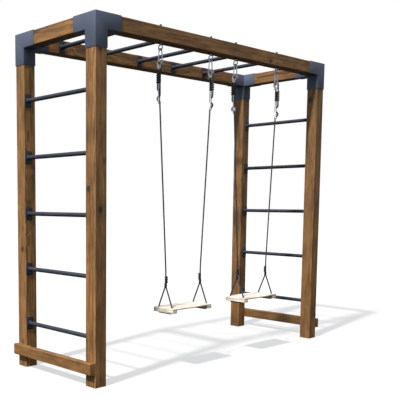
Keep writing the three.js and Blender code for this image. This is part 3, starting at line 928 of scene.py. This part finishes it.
def make_eye_bolt():
    """The forged ring with its shank, and the washers and the cap nut that hold it in the beam."""
    ring = added(
        bpy.ops.mesh.primitive_torus_add,
        location=(0, 0, RING_MIDDLE),
        rotation=(0, math.pi / 2, 0),
        major_radius=EYE_RING,
        minor_radius=EYE_WIRE,
        major_segments=64,
        minor_segments=20,
    )
    bpy.ops.object.shade_smooth()
    shank = rod_along_z(EYE_SHANK, RING_MIDDLE + EYE_RING, beam_top + 0.010)
    collar = rod_along_z(EYE_COLLAR, RING_MIDDLE + EYE_RING + 0.002, beam_under - WASHER)
    soften(collar, 0.0015)
    under = beam_under - CLEAR
    over = beam_top + CLEAR
    nut_bottom = over + WASHER
    nut_top = nut_bottom + NUT
    dome_middle = nut_top + 0.0038
    stretches = ((under - WASHER, under), (over, nut_bottom))
    washers = [rod_along_z(WASHER_RADIUS, bottom, top) for bottom, top in stretches]
    nut = rod_along_z(NUT_RADIUS, nut_bottom, nut_top, 6)
    for piece in (*washers, nut):
        soften(piece, 0.0008)
    sphere = bpy.ops.mesh.primitive_uv_sphere_add
    dome = added(sphere, segments=32, ring_count=16, radius=NUT_DOME, location=(0, 0, dome_middle))
    bpy.ops.object.shade_smooth()
    waist = rod_along_z(NUT_DOME, nut_top - 0.0005, dome_middle)
    smooth_below(waist, 40)
    return joined("eye_bolt", [ring, shank, collar]), joined("cap_nut", [*washers, nut, dome, waist])


def round_section(radius):
    angles = [2 * math.pi * i / 20 for i in range(20)]
    ring = [(radius * math.cos(angle), radius * math.sin(angle)) for angle in angles]
    return lambda distance: ring


HOOK_WIRE = 0.004
HOOK_NOSE = 0.0046
hook_top, hook_bottom = 0.012, 0.018  # radii of the wire's two bends
hook_low = HOOK_BOTTOM + hook_bottom
hook_slope = math.degrees(math.asin((hook_bottom - hook_top) / (-hook_top - hook_low)))
GATE, GATE_RADIUS = 0.042, 0.0032
GATE_GAP = 0.001


def upright(x, z):
    return Vector((x, 0, z))


over = arc((0, -hook_top), hook_top, 180 - hook_slope, hook_slope, upright, 6)
round_under = arc((0, hook_low), hook_bottom, hook_slope, -180 - hook_slope, upright, 6)
side_line = (over[0] - round_under[-1]).normalized()
spare = ((over[0] - round_under[-1]).length - GATE) / 2
gate_foot = round_under[-1] + side_line * spare
gate_tip = over[0] - side_line * spare


def make_hook():
    line = [gate_tip + side_line * GATE_GAP, *over, *round_under, gate_foot - side_line * GATE_GAP]
    wire = sweep("hook", even_points(line, 0.0015), round_section(HOOK_WIRE))
    # The nose that the gate closes on is forged a little wider.
    nose_line = [gate_tip + side_line * 0.0012, gate_tip + side_line * 0.0075]
    nose = sweep("nose", nose_line, round_section(HOOK_NOSE))
    soften(nose, 0.0008)
    return joined("hook", [wire, nose])


def make_gate():
    line = [
        gate_foot + side_line * 0.001,
        gate_foot + side_line * 0.004,
        gate_tip - side_line * 0.004,
        gate_tip - side_line * 0.0006,
    ]
    body = sweep("gate", line, round_section(GATE_RADIUS))
    soften(body, 0.0006)
    rivet = added(
        bpy.ops.mesh.primitive_cylinder_add,
        vertices=20,
        radius=0.0017,
        depth=0.0078,
        location=gate_foot + side_line * 0.0045,
        rotation=(math.pi / 2, 0, 0),
    )
    soften(rivet, 0.0005)
    return joined("gate", [body, rivet])


def make_thimble():
    """A deep channel of pressed steel, bent into a drop shape. The rope lies between its flanges."""

    def around(across, up):
        return Vector((0, across, up))

    floor_radius, flange, half_wide, plate = 0.0095, 0.0120, 0.0070, 0.0011
    base = arc((THIMBLE_LEAN, THIMBLE_MIDDLE), floor_radius, 208, -28, around, 6)
    point = around(THIMBLE_LEAN + 0.003, THIMBLE_MIDDLE - 0.0315)
    beside_point = Vector((0, 0.0010, 0))
    line = even_points([point - beside_point, *base, point + beside_point], 0.0012)
    middle = around(THIMBLE_LEAN, THIMBLE_MIDDLE - 0.006)
    # Half of the channel's section, from the floor's middle to the flange's rim, as (sideways, outwards)
    rim = half_wide + 0.0003
    skin = [(0.0, 0.0), (0.0035, 0.0003), (0.0055, 0.0018), (half_wide, 0.0042), (rim, flange)]
    inner = [(max(x - plate, 0.0), y + plate) for x, y in skin[:-1]] + [(rim - plate, flange)]
    section = [(-x, y) for x, y in skin[:0:-1]] + skin + inner[::-1] + [(-x, y) for x, y in inner[1:]]
    rings = []
    for i, place in enumerate(line):
        out = heading(line, i).cross(Vector((1, 0, 0))).normalized()
        if out.dot(place - middle) < 0:
            out = -out
        rings.append([place + Vector((x, 0, 0)) + out * y for x, y in section])
    return skinned("thimble", rings)


def ribbed_clamp(half_across, half_deep, bottom, top, ribs, rib, plain=0.0):
    """A moulded sleeve round two strands, with ribs on its far side. plain is its share without ribs."""
    steps, count = ribs * 8, 36
    rings = []
    for i in range(steps + 1):
        share = i / steps
        ribbed = max(0.0, (share - plain) / (1 - plain))
        wave = 0.5 - 0.5 * math.cos(2 * math.pi * ribbed * ribs)
        draw_in = 0.0014 * max(0, 1 - min(share, 1 - share) * steps / 2)
        slim = half_across * 0.22 if share < plain else 0.0
        ring = []
        for j in range(count):
            angle = 2 * math.pi * j / count
            across = math.copysign(abs(math.cos(angle)) ** 0.75, math.cos(angle))
            deep = math.copysign(abs(math.sin(angle)) ** 0.75, math.sin(angle))
            swell = rib * wave**1.3 * (0.1 + 0.9 * max(0.0, across))
            reach_across = half_across - rib + swell - draw_in
            reach_deep = half_deep - rib * 0.5 + swell * 0.5 - draw_in
            height = bottom + (top - bottom) * share
            ring.append((reach_deep * deep, reach_across * across - slim, height))
        rings.append(ring)
    return skinned("clamp", rings)


def rubber_material():
    material, tree, shader = new_material("black_rubber")
    place = put_nodes(tree, "TexCoord")[0].outputs["Object"]
    grain = noise(tree, place, 1100, 3)
    bloom = noise(tree, place, 45, 3)
    black, greyed = (0.006, 0.006, 0.008, 1), (0.018, 0.018, 0.021, 1)
    colour = mix_colours(tree, ramp(tree, bloom, 0.4, 0.8), black, greyed)
    tree.links.new(colour, shader.inputs["Base Color"])
    tree.links.new(ramp(tree, grain, 0.3, 0.7, 0.5, 0.7), shader.inputs["Roughness"])
    bumped(tree, shader, grain, 0.0002, 0.5)
    return material


def plastic_material():
    material, tree, shader = new_material("white_plastic")
    place = put_nodes(tree, "TexCoord")[0].outputs["Object"]
    grain = noise(tree, place, 900, 2)
    grime = noise(tree, place, 60, 4, 0.6)
    white, soiled = (0.93, 0.95, 1.0, 1), (0.78, 0.78, 0.80, 1)
    colour = mix_colours(tree, ramp(tree, grime, 0.5, 0.85, 0, 0.5), white, soiled)
    tree.links.new(colour, shader.inputs["Base Color"])
    tree.links.new(ramp(tree, grain, 0.3, 0.7, 0.38, 0.5), shader.inputs["Roughness"])
    bumped(tree, shader, grain, 0.00012, 0.4)
    return material


black_nut = zinc_material("black_nut", (0.016, 0.015, 0.014, 1), 0.55, 0.3)
bright_zinc = zinc_material("bright_zinc", (0.55, 0.60, 0.70, 1), 0.26)
thimble_zinc = zinc_material("thimble_zinc", (0.68, 0.66, 0.68, 1), 0.34)
rubber = rubber_material()
white_plastic = plastic_material()

patterns = {"hook": make_hook(), "gate": make_gate(), "thimble": make_thimble()}
patterns["eye_bolt"], patterns["cap_nut"] = make_eye_bolt()
CLAMP_TOP, CLAMP_BOTTOM = -0.139, -0.214
patterns["clamp"] = ribbed_clamp(
    half_across=0.0238, half_deep=0.0092, bottom=CLAMP_BOTTOM, top=CLAMP_TOP, ribs=5, rib=0.0068
)
patterns["clamp"].data.transform(Matrix.Translation((0, STRANDS / 2, 0)))
SEAT_CLAMP_BOTTOM = PIVOT - 0.002
seat_clamp_length = PIVOT + CLAMP_OVER_PIVOT - SEAT_CLAMP_BOTTOM
patterns["seat_clamp"] = ribbed_clamp(
    half_across=0.0158, half_deep=0.0098, bottom=0, top=seat_clamp_length, ribs=3, rib=0.0062, plain=0.38
)
patterns["seat_clamp"].data.transform(Matrix.Translation((0, 0.0042, 0)))

for (swing, hand), hook in hooks.items():
    free = hands[hand]
    label = f"{swing}_{hand}"
    turned = Matrix.Diagonal((1, free, 1, 1))
    place = Matrix.Translation(hook)
    body = f"swing_{swing}"
    for name, called, rides, finish, slot_name, *nodes in (
        ("eye_bolt", "eye", "frame", bright_zinc, "bolt", f"eye_bolt_{label}"),
        ("cap_nut", "cap_nut", "frame", black_nut, "bolt"),
        ("hook", "hook", body, bright_zinc, "zinc", f"carabiner_{label}"),
        ("gate", "gate_bar", f"gate_{label}", bright_zinc, "zinc", f"carabiner_gate_{label}"),
    ):
        piece = stamped(patterns[name], label, place)
        fix_piece(piece, f"{called}_{label}", rides, finish, slot_name, *nodes)
    for name, finish, slot_name in (("thimble", thimble_zinc, "zinc"), ("clamp", rubber, "rope")):
        piece = stamped(patterns[name], label, place @ turned)
        if free < 0:
            piece.data.flip_normals()
        fix_piece(piece, f"{name}_{label}", body, finish, slot_name)
    # The lower clamp's ribs face the middle of the seat.
    over_pivot = Matrix.Translation((seat_ends[swing, hand], hook.y, SEAT_CLAMP_BOTTOM))
    inwards = Matrix.Rotation(math.radians(-90 * free), 4, "Z")
    piece = stamped(patterns["seat_clamp"], label, over_pivot @ inwards)
    fix_piece(piece, f"seat_clamp_{label}", body, rubber, "rope")
    bar = copy_of_node(f"rope_adjuster_{label}")
    soften(bar, 0.0009, 3)
    fix_piece(bar, f"adjuster_{label}", body, white_plastic, "adjuster", f"rope_adjuster_{label}")

# ---------------------------------------------------------------- seats
# Pale sanded boards on two cleats each: a wide board in front and a narrow slat behind it, screwed down
# through their tops. The rope passes through all of it.

# Early wood, late wood, knots and worn arrises, as for the timber
PALE_PINE = ((0.80, 0.73, 0.62, 1), (0.62, 0.50, 0.37, 1), (0.36, 0.24, 0.14, 1), (0.84, 0.79, 0.70, 1))
# The narrow rear slat is a greyer copy of the pale pine.
GREYER_PINE = ((0.74, 0.69, 0.66, 1), (0.55, 0.49, 0.45, 1), (0.34, 0.26, 0.20, 1), (0.78, 0.74, 0.70, 1))
BOARD_GAP = 0.002
SLAT = 0.042
HOLE = 0.0063
SEAT_SCREW_SUNK = 0.0023
FIRST_SEAT_WOOD = 31  # past the timbers' numbers, so that no two pieces share their grain


def plank(low, high, rounding):
    middle = (low + high) / 2
    piece = added(bpy.ops.mesh.primitive_cube_add, size=1, location=middle, scale=high - low)
    soften(piece, rounding, 4)
    return piece


def bored(piece, holes, bottom, top):
    for x, y in holes:
        cutter = rod_along_z(HOLE, bottom - 0.01, top + 0.01, 24)
        cutter.data.transform(Matrix.Translation((x, y, 0)))
        apply_modifier(piece, "BOOLEAN", object=cutter, operation="DIFFERENCE", solver="EXACT")
        bpy.data.objects.remove(cutter)
    smooth_below(piece, 35)


for number, swing in enumerate(swing_names):
    body = f"seat_{swing}"
    node = f"seat_board_{swing}"
    low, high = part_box(node)
    rope_x = [seat_ends[swing, hand] for hand in hands]
    middle_y = hooks[swing, "left"].y
    holes = [(x, middle_y + dy) for x in rope_x for dy in (-SEAT_LEG, SEAT_LEG)]
    split_y = high.y - SLAT
    front_high = Vector((high.x, split_y - BOARD_GAP, high.z))
    slat_low = Vector((low.x, split_y, low.z))
    planks = [
        ("front_board", low, front_high, "X", node, PALE_PINE, 0.003),
        ("rear_slat", slat_low, high, "X", node, GREYER_PINE, 0.003),
    ]
    for hand in hands:
        cleat = f"seat_cleat_{swing}_{hand}"
        planks.append((f"cleat_{hand}", *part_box(cleat), "Y", cleat, PALE_PINE, 0.0016))
    for step, (name, a, b, grain, stands_for, colours, rounding) in enumerate(planks):
        piece = plank(a, b, rounding)
        bored(piece, [h for h in holes if a.x < h[0] < b.x and a.y < h[1] < b.y], a.z, b.z)
        finish = wood_material(
            f"pale_{name}_{swing}",
            *(a, b, grain, FIRST_SEAT_WOOD + number * 7 + step, colours),
            ring_depth=0.45,
            knot_size=0.02,
            edge_wear=0.3,
        )
        fix_piece(piece, f"seat_{name}_{swing}", body, finish, "seat_wood", stands_for)
    screws = []
    for x in rope_x:
        for y in (middle_y - 0.032, middle_y + 0.022, split_y + SLAT / 2 - 0.012):
            place = Vector((x, y, high.z - SEAT_SCREW_SUNK))
            screws.append(stamped(screw_pattern, "screw", Matrix.Translation(place)))
    fix_piece(joined("screws", screws), f"seat_screws_{swing}", body, bright_zinc, "zinc")

# ---------------------------------------------------------------- rail screws
# Dark plated coach screws with pan heads hold the foot rails, two to a post. They are driven in through
# the rail's outer face until their heads end just under it.

COACH_SCREW_SUNK = 0.0046
coach_pattern = pan_head_screw(0.009, 0.0045)
for end in ("left", "right"):
    low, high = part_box(f"foot_rail_{end}")
    out = -1 if end == "left" else 1
    face = low.x if out < 0 else high.x
    rail_z = centre(f"foot_rail_{end}")[2]
    screws = []
    for side in ("front", "back"):
        post_y = centre(f"post_{side}_{end}")[1]
        for across, up in ((-0.018, 0.016), (0.018, -0.016)):
            place = Vector((face - out * COACH_SCREW_SUNK, post_y + across, rail_z + up))
            screws.append(stamped(coach_pattern, "screw", facing(place, (out, 0, 0))))
    fix_piece(joined("screws", screws), f"rail_screws_{end}", "frame", dark_steel, "bolt")

for pattern in (screw_pattern, coach_pattern, bar_pattern, bar_screw_pattern, *patterns.values()):
    bpy.data.objects.remove(pattern)
